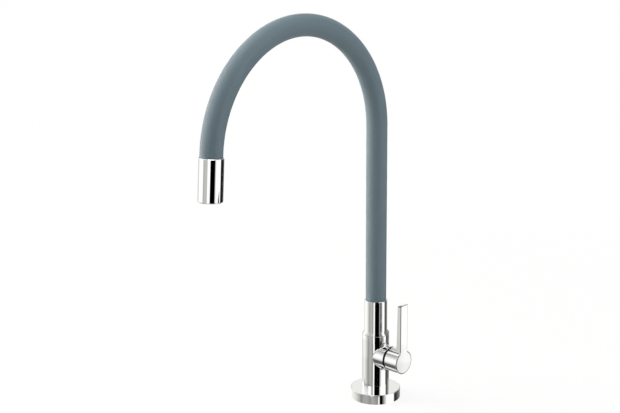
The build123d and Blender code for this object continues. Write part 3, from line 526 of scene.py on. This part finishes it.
# %% Geometry Nodes: wire cloth in a ring
tree, given = new_geometry_tree("woven_screen", {
    "Radius": "Float", "Spacing": "Float", "Wire radius": "Float", "Rim radius": "Float",
    "Wires": "Int", "Steps": "Int", "Tilt": "Rotation", "Place": "Vector", "Finish": "Material",
})
extent = add(tree, MATH, {0: given["Wires"], 1: 1.0}, operation="SUBTRACT")
first = add(tree, MATH, {0: add(tree, MATH, {0: extent, 1: given["Spacing"]}, operation="MULTIPLY"),
                         1: -0.5}, operation="MULTIPLY")
starts = add(tree, "GeometryNodeMeshLine", {
    "Count": given["Wires"], "Start Location": add(tree, "ShaderNodeCombineXYZ", {"Y": first}),
    "Offset": add(tree, "ShaderNodeCombineXYZ", {"Y": given["Spacing"]})})
rod = add(tree, "GeometryNodeCurvePrimitiveLine", {"Start": (-1, 0, 0), "End": (1, 0, 0)})
stepped = add(tree, "GeometryNodeResampleCurve", {"Curve": rod, "Count": given["Steps"]})
laid = add(tree, "GeometryNodeInstanceOnPoints", {"Points": starts, "Instance": stepped})
rods = add(tree, "GeometryNodeRealizeInstances", {"Geometry": laid})
print("screen sizes:", len(given))

# %% Cut each wire to the circle and wave it
spot = add(tree, "ShaderNodeSeparateXYZ", {0: add(tree, "GeometryNodeInputPosition")})
inside = add(tree, MATH, {0: given["Radius"], 1: given["Rim radius"]}, operation="SUBTRACT")
inside_squared = add(tree, MATH, {0: inside, 1: 2.0}, operation="POWER")
off_squared = add(tree, MATH, {0: spot.outputs["Y"], 1: 2.0}, operation="POWER")
chord = add(tree, MATH, {0: add(tree, MATH, {0: inside_squared, 1: off_squared}, operation="SUBTRACT")},
            operation="SQRT")
reach = add(tree, MATH, {0: spot.outputs["X"], 1: chord}, operation="MULTIPLY")
crossing = add(tree, MATH, {0: add(tree, MATH, {0: reach, 1: spot.outputs["Y"]}), 1: given["Spacing"]},
               operation="DIVIDE")
wave = add(tree, MATH, {0: add(tree, MATH, {0: crossing, 1: pi}, operation="MULTIPLY")}, operation="SINE")
lift = add(tree, MATH, {0: wave, 1: given["Wire radius"]}, operation="MULTIPLY")
woven = add(tree, "GeometryNodeSetPosition", {"Geometry": rods, "Position": add(
    tree, "ShaderNodeCombineXYZ", {"X": reach, "Y": spot.outputs["Y"], "Z": lift})})
crossed = add(tree, "GeometryNodeTransform", {"Geometry": woven, "Rotation": (0, 0, pi / 2),
                                              "Scale": (1, 1, -1)})
cloth = add(tree, "GeometryNodeJoinGeometry")
for wires in (woven, crossed):
    tree.links.new(wires.outputs[0], cloth.inputs[0])
wire_section = add(tree, "GeometryNodeCurvePrimitiveCircle",
                   {"Resolution": 5, "Radius": given["Wire radius"]})
wire_mesh = add(tree, "GeometryNodeCurveToMesh", {"Curve": cloth, "Profile Curve": wire_section,
                                                  "Fill Caps": True})
rim_line = add(tree, "GeometryNodeCurvePrimitiveCircle", {"Resolution": 48, "Radius": inside})
rim_section = add(tree, "GeometryNodeCurvePrimitiveCircle",
                  {"Resolution": 8, "Radius": given["Rim radius"]})
rim = add(tree, "GeometryNodeCurveToMesh", {"Curve": rim_line, "Profile Curve": rim_section})
disc = add(tree, "GeometryNodeJoinGeometry")
for shape in (wire_mesh, rim):
    tree.links.new(shape.outputs[0], disc.inputs[0])
set_down = add(tree, "GeometryNodeTransform", {"Geometry": disc, "Rotation": given["Tilt"],
                                               "Translation": given["Place"]})
smooth = add(tree, "GeometryNodeSetShadeSmooth", {"Geometry": set_down, "Shade Smooth": True})
real = add(tree, "GeometryNodeRealizeInstances", {"Geometry": smooth})
finished = add(tree, "GeometryNodeSetMaterial", {"Geometry": real, "Material": given["Finish"]})
add(tree, "NodeGroupOutput", {"Geometry": finished})
screen_depth = 37.5 * MM  # from the arch's end to the mouth
screen = grow("woven_mouth_screen", tree, {
    "Radius": 8.35 * MM, "Spacing": 0.9 * MM, "Wire radius": 0.17 * MM, "Rim radius": 0.36 * MM,
    "Wires": 17, "Steps": 44, "Tilt": (arch_angle - pi, 0, 0),
    "Place": tuple(arch_end + tip_direction * screen_depth), "Finish": steel,
})
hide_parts("aerator_screen")
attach(screen, "spout_tip")

# %% [markdown]
# ## Finishes for the CAD pieces
# Every other piece keeps its CAD shape and only gets its finish. The list is by material, as a bill of
# materials would be.

# %% Give each CAD node its finish
finishes = (
    (chrome, ("base_flange", "valve_body", "spout_collar", "nozzle_shell")),
    # the lever's chrome carries painted reflections on its edges
    (chrome_with_painted_edge_reflections, ("lever_handle",)),
    (brass["upright"], ("mounting_nut", "swivel_spigot", "hose_ferrule", "tip_ferrule", "nozzle_fitting")),
    (brass["crosswise"], ("cartridge_housing", "spindle")),
    (steel, ("clamp_washer", "inlet_strainer", "spindle_clip", "handle_screw", "swivel_screw")),
    (moulded["moulded_black_epdm_rubber"], (
        "base_gasket", "deck_seal", "cartridge_seal", "seat_seal", "spindle_seal", "swivel_orings",
        "nozzle_seal", "aerator_gasket")),
    (moulded["moulded_black_acetal"], ("glide_ring", "swivel_bearing")),
    (moulded["moulded_white_acetal"], (
        "spline_bush", "screw_plug", "aerator_housing", "flow_regulator", "aerator_insert")),
    (moulded["lapped_alumina_ceramic"], ("fixed_disc", "moving_disc")),
)
dressed = set()
for finish, names in finishes:
    for name in names:
        nodes[name].data.materials.clear()
        nodes[name].data.materials.append(finish)
        dressed.add(name)
print("dressed", len(dressed), "nodes; left:", sorted(set(nodes) - dressed))

# %% [markdown]
# ## The set around the chrome
# Polished metal is photographed inside a ring of white, grey and black cards, and their edges are the
# stripes that give a round tap its form. The camera looks down at the tap, so the chrome sees the cards
# below the deck's level, and each height of the tap sees another height of the wall. The wall is a large
# open drum with one band of cards for each of these heights. Angles are counted from the camera, positive
# to its right, and between two of them the grey runs on, as on a curved card. Each grey is written as the
# chrome shows it: the plate swallows some light, and a gain makes up for that. Only reflections see this
# wall: it neither lights the tap nor stands in the picture. A few plain cards would be the usual set. Here
# many greys were read off rows of pixels in the photograph, each traced from the chrome to the wall, so
# this set fits that one picture and is no pattern for another.

# %% A band of cards
drum_radius, drum_sides = 2.0, 96
white, black = "#FFFFFF", "#000000"
mirror_gain = 1.32


def card_band(name, low, high, cards, gain=mirror_gain):
    """An open drum whose colour changes round it: cards is a list of (angle, grey) stops."""
    points = [(drum_radius * cos(2 * pi * i / drum_sides), drum_radius * sin(2 * pi * i / drum_sides), z)
              for z in (low, high) for i in range(drum_sides)]
    faces = [(i, i + drum_sides, (i + 1) % drum_sides + drum_sides, (i + 1) % drum_sides)
             for i in range(drum_sides)]
    mesh = bpy.data.meshes.new(name)
    mesh.from_pydata(points, [], faces)
    band = bpy.data.objects.new(name, mesh)
    put_in_scene(band)
    material, tree = new_material(f"{name}_cards")
    place = add(tree, "ShaderNodeTexCoord").outputs["Object"]
    turned = add(tree, "ShaderNodeMapping", {"Vector": place, "Rotation": (0, 0, pi / 2 - camera_turn)})
    sweep = add(tree, "ShaderNodeTexGradient", {"Vector": turned}, gradient_type="RADIAL")
    ramp = add(tree, "ShaderNodeValToRGB", {0: sweep})
    stops = ramp.color_ramp.elements
    for angle, _ in cards[2:]:
        stops.new(angle / 360 + 0.5)
    for stop, (angle, grey) in zip(stops, cards):
        stop.position, stop.color = angle / 360 + 0.5, linear(grey)
    glow = add(tree, "ShaderNodeEmission", {"Color": ramp, "Strength": gain})
    add(tree, "ShaderNodeOutputMaterial", {"Surface": glow})
    mesh.materials.append(material)
    band.visible_camera = band.visible_diffuse = band.visible_shadow = False
    band.visible_transmission = band.visible_volume_scatter = False
    print(name, "with", len(cards), "stops")


print("drum radius:", drum_radius, "m")

# %% [markdown]
# ## Cards for the hub
# The hub, a short crosswise cylinder, mirrors the wall far below the deck in its underside, and higher
# parts in its side and front.

# %% The lowest bands
for name, low, high, under in (
    ("wall_near_the_ground", -3.5, -2.7, "#E0E0E0"), ("wall_seen_by_the_hub_low", -2.7, -2.05, black),
):
    card_band(name, low, high, [
        (-180, "#A2A2A2"), (-134, "#A8A8A8"), (-115, "#909090"), (-107, "#747474"), (-102, "#707070"),
        (-96, "#A0A0A0"), (-60, "#B0B0B0"), (-20, "#A0A0A0"), (-10, black), (12, black), (18, under),
        (38, under), (46, black), (52, "#A0A0A0"), (75, white), (98, "#E0E0E0"), (106, "#909090"),
        (140, "#909090"), (180, "#A2A2A2")])
card_band("wall_seen_by_the_hub_side", -2.05, -1.25, [
    (-180, "#909090"), (-140, "#787878"), (-110, "#606060"), (-98, "#606060"), (-93, "#565656"),
    (-86, "#5E5E5E"), (-78, "#8C8C8C"), (-60, "#A0A0A0"), (-20, "#A0A0A0"), (-10, black), (48, black),
    (56, "#B0B0B0"), (78, "#F0F0F0"), (100, "#B0B0B0"), (108, "#707070"), (140, "#909090"),
    (180, "#909090")])
card_band("wall_seen_by_the_hub_front", -1.25, -0.90, [
    (-180, "#C8C8C8"), (-115, "#A0A0A0"), (-95, "#5E5E5E"), (-83, "#626262"), (-72, "#848484"),
    (-20, "#A4A4A4"), (-10, black), (100, black), (104, "#606060"), (140, "#909090"), (180, "#C8C8C8")])

# %% [markdown]
# ## Cards for the flange, the body and the disc
# The flange's slope and the upright body mirror a thin strip of the wall below the deck's level. Its left
# half is grey, then come a narrow white card, a black one for the dark room behind the camera, and a wide
# white one on the right.

# %% Bands for the flange and the body
foot_right = [
    (-34, "#9A9A98"), (-22.5, "#969694"), (-20.5, white), (-12.2, white), (-10.4, black), (33.5, black),
    (41, "#B8B8B8"), (48, "#E0E0E0"), (54, white), (91.5, white), (94, "#4C4C4C"), (112, "#4C4C4C"),
    (128, "#7C7C7C"), (150, "#A0A0A0"), (180, "#B0B0B0")]
card_band("wall_seen_by_the_flange", -0.90, -0.832, [
    (-180, "#F6F6F4"), (-130, "#E8E8E6"), (-106, "#DCDCDA"), (-99, "#D2D2CE"), (-92, "#C4C4C0"),
    (-85, "#B8B8B4"), (-80, "#B2B2B0"), (-76, "#9C9C9A"), (-68, "#8C8C8A"), (-62, "#929290"),
    (-57, "#AAAAA8"), (-51, "#A0A09E"), (-42, "#A6A6A4"), (-32, "#9C9C9A"), (-25, "#8E8E8C"),
    (-19, "#989896"), (-13, "#A8A8A6"), (0, "#9A9A98"), (12.4, "#888886"), (13.9, "#F4F4F4"),
    (19.4, "#F4F4F4"), (20, black), (31.5, black), (34, "#505050"), (38.5, "#888888"), (43.5, "#B2B2B2"),
    (49, "#D6D6D6"), (55, white), (93.4, white), (96, "#282828"), (114, "#363636"), (180, "#A8A8A8")])
card_band("wall_seen_by_the_foot_edge", -0.832, -0.8125, [
    (-180, "#C4C4C2"), (-125, "#E4E4E2"), (-114, "#888888"), (-83, "#888888"), (-72, "#787878"),
    (-62, "#6C6C6C"), (-52, "#808080"), (-43, "#A8A8A6"), *foot_right])
card_band("wall_seen_by_the_foot", -0.8125, -0.80, [
    (-180, "#C4C4C2"), (-125, "#E4E4E2"), (-112, "#C8C8C6"), (-100, "#CACAC8"), (-90, "#D0D0CE"),
    (-83, "#C6C6C4"), (-72, "#A0A09E"), (-62, "#909090"), (-52, "#A6A6A4"), (-43, "#ACACAA"), *foot_right])
card_band("wall_seen_by_the_lower_body", -0.80, -0.74, [
    (-180, "#A8A8A6"), (-150, "#CECECC"), (-125, "#DEDEDC"), (-109, "#EAEAE8"), (-95, "#D8D8D6"),
    (-83, "#BCBCBA"), (-72, "#9C9C9A"), (-62, "#8E8E8C"), (-52, "#A8A8A6"), (-43, "#AEAEAC"),
    (-34, "#9C9C9A"), (-22.5, "#929290"), (-20.5, white), (-12, white), (-10.2, black), (33.8, black),
    (41, "#B4B4B4"), (48, "#E0E0E0"), (54, white), (91.5, white), (93.5, "#505050"), (96.2, "#505050"),
    (97.4, "#E2E2E2"), (98.3, "#E6E6E6"), (98.75, white), (99.6, white), (101, "#4C4C4C"), (116, "#4C4C4C"),
    (128, "#5C5C5C"), (150, "#808080"), (180, "#A8A8A6")])
card_band("wall_seen_by_the_disc", -0.74, -0.69, [
    (-180, "#B0B0AE"), (-150, "#D0D0CE"), (-127, "#E6E6E4"), (-110, "#EEEEEC"), (-97, "#E4E4E2"),
    (-85, "#D0D0CC"), (-74, "#B2B2AE"), (-63, "#8E8E8C"), (-54, "#A4A4A2"), (-44, "#ACACAA"),
    (-36, "#A4A4A2"), (-25, "#8C8C8A"), (-22, "#8C8C8A"), (-20, white), (-9.6, white), (-8.8, black),
    (34, black), (37, "#606060"), (47, "#686868"), (54, white), (91.5, white), (93.5, "#505050"),
    (96.2, "#505050"), (97.4, "#E4E4E4"), (98.2, "#E8E8E8"), (98.55, white), (99.6, white),
    (101, "#4C4C4C"), (122, "#606060"), (143, "#909090"), (180, "#C8C8C8")])

# %% [markdown]
# ## Cards for the collar, the branch and the nozzle
# The collar flares, the branch lies down, and the nozzle hangs high and forward, so they mirror bands near
# the deck's level and above it.

# %% Bands for the collar, the branch and the nozzle
card_band("wall_seen_by_the_collar", -0.69, -0.555, [
    (-180, "#A8A8A6"), (-150, "#D8D8D6"), (-131, "#F6F6F4"), (-110, "#FCFCFA"), (-94, "#ECECEA"),
    (-80, "#C8C8C4"), (-67, "#A0A09E"), (-56, "#A8A8A6"), (-45, "#B6B6B4"), (-34, "#A0A09E"),
    (-24, "#9C9C9A"), (-21.8, white), (-9.4, white), (-8.6, black), (34, black), (35.5, "#9C9C9C"),
    (42, "#969696"), (45, "#787878"), (53, "#787878"), (55, white), (93.2, white), (95, "#4C4C4C"),
    (96, "#4C4C4C"), (97.2, white), (99.8, white), (101.2, "#4C4C4C"), (116, "#505050"), (130, "#6A6A6A"),
    (150, "#888888"), (180, "#E0E0E0")])
card_band("wall_seen_by_the_branch", -0.555, -0.42, [
    (-180, "#D0D0CE"), (-100, "#E4E4E2"), (-80, "#E2E2E0"), (-74, "#DEDEDC"), (-66, "#B8B8B8"),
    (-20, "#B0B0B0"), (-8, "#A0A0A0"), (10, "#909090"), (14, black), (46, black), (60, "#383838"),
    (84, "#383838"), (88, white), (110, white), (116, "#404040"), (135, "#222222"), (165, "#5C5C5C"),
    (180, "#B0B0B0")])
card_band("wall_seen_by_the_nozzle_end", -0.42, -0.27, [
    (-180, "#D0D0CE"), (-100, "#E4E4E2"), (-80, "#E2E2E0"), (-74, "#DEDEDC"), (-66, "#B8B8B8"),
    (-26, "#B0B0B0"), (-22, white), (7, white), (12, black), (88, black), (90, white), (97.2, white),
    (99.4, "#202020"), (115, "#202020"), (135, "#101010"), (165, "#303030"), (180, "#B0B0B0")])
card_band("wall_seen_by_the_nozzle", -0.27, 0.10, [
    (-180, "#F0F0EE"), (-140, "#E8E8E6"), (-128, "#CCCCCA"), (-113, "#CCCCCA"), (-107, white),
    (-64.6, white), (-58, "#AAAAA8"), (-50, "#B4B4B2"), (-38, "#BEBEBC"), (-29, "#B4B4B2"),
    (-26.5, "#B8B8B6"), (-23.5, white), (-3.8, white), (-2.4, black), (35, black), (44, "#E8E8E8"),
    (52, white), (96, white), (99, "#303030"), (115, "#303030"), (135, "#222222"), (165, "#5C5C5C"),
    (180, "#C0C0C0")])
card_band("wall_above_the_deck", 0.10, 0.77, [
    (-180, "#F0F0F0"), (-172, "#B8B8B8"), (-150, "#B0B0B0"), (-135, "#E4E4E4"), (-122, white), (-68, white),
    (-60, "#B4B4B4"), (-24, "#B4B4B4"), (-20, white), (-9, white), (-7, black), (45, black), (52, white),
    (95, white), (100, "#707070"), (130, "#707070"), (145, "#B8B8B8"), (164, "#C4C4C4"), (174, "#F0F0F0"),
    (180, "#F0F0F0")])

# %% [markdown]
# ## Cards that are mirrored twice
# Where the body meets the flange each mirrors the other, and the wall above the deck shows in both. Light
# that has met the plate twice has lost twice, so these two bands have a larger gain.

# %% Bands for the foot and the flange's top
two_mirrors_gain = 1.74
flange_right = [
    (-19, white), (-11.6, white), (-9.6, black), (33, black), (39, "#DCDCDC"), (48, "#F0F0F0"), (56, white),
    (93, white), (98, "#545454"), (113, "#545454"), (130, "#808080"), (156, "#B0B0B0"), (180, "#CBCBC8")]
card_band("wall_seen_by_the_foot_below", 0.77, 0.8372, [
    (-180, "#CBCBC8"), (-160, "#CBCBC8"), (-150, "#F4F4F4"), (-118, white), (-113, "#585858"),
    (-80, "#606060"), (-64, "#808080"), (-58, white), (-42, white), (-36, "#B4B4B4"), (-22, "#A2A2A2"),
    *flange_right], two_mirrors_gain)
card_band("wall_seen_by_the_flange_top", 0.8372, 0.90, [
    (-180, "#CBCBC8"), (-160, "#CBCBC8"), (-150, "#F4F4F4"), (-117, white), (-109, "#E3E3E3"),
    (-95, "#E2E2E2"), (-83, "#E4E4E4"), (-72, "#D0D0D0"), (-64, "#ECECEC"), (-58, white), (-42, white),
    (-36, "#B4B4B4"), (-26, "#A2A2A2"), (-22, "#A2A2A2"), *flange_right], two_mirrors_gain)

# %% [markdown]
# ## Cards high on the wall
# Faces that look up, such as the flange's top and the upper side of the branch, mirror the wall above the
# deck and the ceiling. One grey card climbs the wall in four steps and moves to the left, which draws a
# slanting shade. Higher up the bands are paler, and above them all is white.

# %% The highest bands
ceiling_gain = 2.4
for step, (low, high, grey, middle, white_end) in enumerate((
    (0.90, 1.12, "#E4E4E4", -81, -12), (1.12, 1.40, "#C8C8C8", -84.5, 8),
    (1.40, 1.70, "#B2B2B2", -89, 8), (1.70, 2.05, "#9C9C9C", -96, 8),
)):
    card_band(f"wall_step_{step + 1}", low, high, [
        (-180, "#BCBCBC"), (-165, "#B2B2B2"), (-152, "#F0F0F0"), (-125, "#EAEAEA"),
        (middle - 5.5, "#EAEAEA"), (middle - 3, grey), (middle + 3, grey), (middle + 6, "#D6D6D6"),
        (-68, "#B0B0B0"), (-40, "#A4A4A4"), (-27, "#A0A0A0"), (-24, white), (white_end, white),
        (white_end + 3, black), (36, black), (40, "#888888"), (46, "#909090"), (54, white), (91, white),
        (97, "#707070"), (118, "#808080"), (160, "#ABABAB"), (180, "#BCBCBC")])
for name, low, high, glancing in (
    ("wall_high_up", 2.05, 2.45, "#C8C8C8"), ("wall_on_top", 2.45, 7.0, "#EEEEEE"),
):
    card_band(name, low, high, [
        (-180, "#C0C0C0"), (-140, "#D6D6D6"), (-122, white), (-112, white), (-107, "#F0F0F0"),
        (-103, glancing), (-86, glancing), (-74, "#C0C0C0"), (-40, "#B8B8B8"), (-28, "#B8B8B8"),
        (-25, white), (-12, white), (-9, black), (37, black), (41, "#848484"), (46, "#909090"), (54, white),
        (98, white), (104, "#B0B0B0"), (137, "#F4F4F4"), (180, "#C0C0C0")])
card_band("wall_near_the_ceiling", 7.0, 16.0, [(-180, white), (180, white)], ceiling_gain)

# %% [markdown]
# ## Floor
# The floor is white paper that keeps a soft shadow. A photographer burns such paper out to white, so the
# camera sees it partly as its own glow: near the tap a little light and shadow are added to the glow, and
# further off it is plain white. Every other ray meets matt grey paper, so the floor lights the tap no more
# than paper would. The chrome mirrors the cards and not the floor.

# %% White paper
floor_size, shadow_reach, paper_glow = 8.0, 0.8, 0.90
half = floor_size / 2
floor_mesh = bpy.data.meshes.new("floor")
floor_mesh.from_pydata([(-half, -half, 0), (half, -half, 0), (half, half, 0), (-half, half, 0)], [],
                       [(0, 1, 2, 3)])
floor = bpy.data.objects.new("floor", floor_mesh)
put_in_scene(floor)
paper, tree = new_material("white_paper")
seen = add(tree, "ShaderNodeLightPath").outputs["Is Camera Ray"]
matt = add(tree, "ShaderNodeBsdfDiffuse", {"Color": linear("#B4B4B4")})
shaded = add(tree, "ShaderNodeBsdfDiffuse", {"Color": linear("#454545")})
glow = add(tree, "ShaderNodeEmission", {"Color": (1, 1, 1, 1), "Strength": paper_glow})
near_paper = add(tree, "ShaderNodeAddShader", {0: shaded, 1: glow})
far_paper = add(tree, "ShaderNodeEmission", {"Color": (1, 1, 1, 1), "Strength": 1.0})
place = add(tree, "ShaderNodeTexCoord").outputs["Object"]
reach = add(tree, "ShaderNodeMapping", {"Vector": place, "Scale": (1 / shadow_reach,) * 3})
nearness = add(tree, "ShaderNodeTexGradient", {"Vector": reach}, gradient_type="SPHERICAL")
picture = add(tree, "ShaderNodeMixShader", {0: nearness, 1: far_paper, 2: near_paper})
paper_shader = add(tree, "ShaderNodeMixShader", {0: seen, 1: matt, 2: picture})
add(tree, "ShaderNodeOutputMaterial", {"Surface": paper_shader})
floor_mesh.materials.append(paper)
floor.visible_glossy = False
print("floor:", floor_size, "m wide, shadows to", shadow_reach, "m")

# %% [markdown]
# ## Background and lamps
# The background is white for the camera and in mirrors, and weaker for everything else, so that its look
# doesn't set the light on the tap. The lamps are soft squares. A strong and slightly warm one stands left
# of the tap, a little behind it, and gives the matt sleeve its light left edge. A weaker one stands on the
# right, one hangs above, and a small one fills the shade on the left. Angles are counted from the camera.
# The chrome doesn't mirror the lamps, only the cards.

# %% White background
world = bpy.data.worlds.new("white_studio")
bpy.context.scene.world = world
world.use_nodes = True
tree = world.node_tree
tree.nodes.clear()
path = add(tree, "ShaderNodeLightPath").outputs
mirrored = add(tree, MATH, {0: path["Is Glossy Ray"], 1: path["Is Transmission Ray"]}, operation="MAXIMUM")
shown = add(tree, MATH, {0: path["Is Camera Ray"], 1: mirrored}, operation="MAXIMUM")
soft = add(tree, "ShaderNodeBackground", {"Color": linear("#FFFFFF"), "Strength": 0.43})
bright = add(tree, "ShaderNodeBackground", {"Color": linear("#FFFFFF"), "Strength": 1.0})
either = add(tree, "ShaderNodeMixShader", {0: shown, 1: soft, 2: bright})
add(tree, "ShaderNodeOutputWorld", {"Surface": either})
print("made", world.name)

# %% Soft lamps
aim = Vector((0, -0.08, 0.20))
for name, angle, height, distance, size, watts, tone in (
    ("left_softbox", -99, 0.7, 1.5, 1.3, 60, "#FFF2EC"),
    ("right_softbox", 68, 0.7, 1.5, 1.0, 17, "#FFFFFF"),
    ("top_softbox", -70, 1.9, 0.5, 1.0, 18, "#FFFFFF"),
    ("near_fill", -62, 0.35, 0.7, 0.5, 0.7, "#FFFFFF"),
):
    lamp = bpy.data.objects.new(name, bpy.data.lights.new(name, "AREA"))
    lamp.data.shape, lamp.data.size, lamp.data.energy = "SQUARE", size, watts
    lamp.data.color = linear(tone)[:3]
    turn = camera_turn + radians(angle)
    lamp.location = Vector((sin(turn) * distance, -cos(turn) * distance, height))
    lamp.rotation_euler = (lamp.location - aim).to_track_quat("Z", "Y").to_euler()
    lamp.visible_glossy = False
    put_in_scene(lamp)
    print(name, watts, "W")

# %% [markdown]
# ## The picture uses Blender's Standard view transform.
# The dressed tap has to stay inside the CAD model's box, so both boxes are written side by side.

# %% Standard view transform
bpy.context.scene.view_settings.view_transform = "Standard"
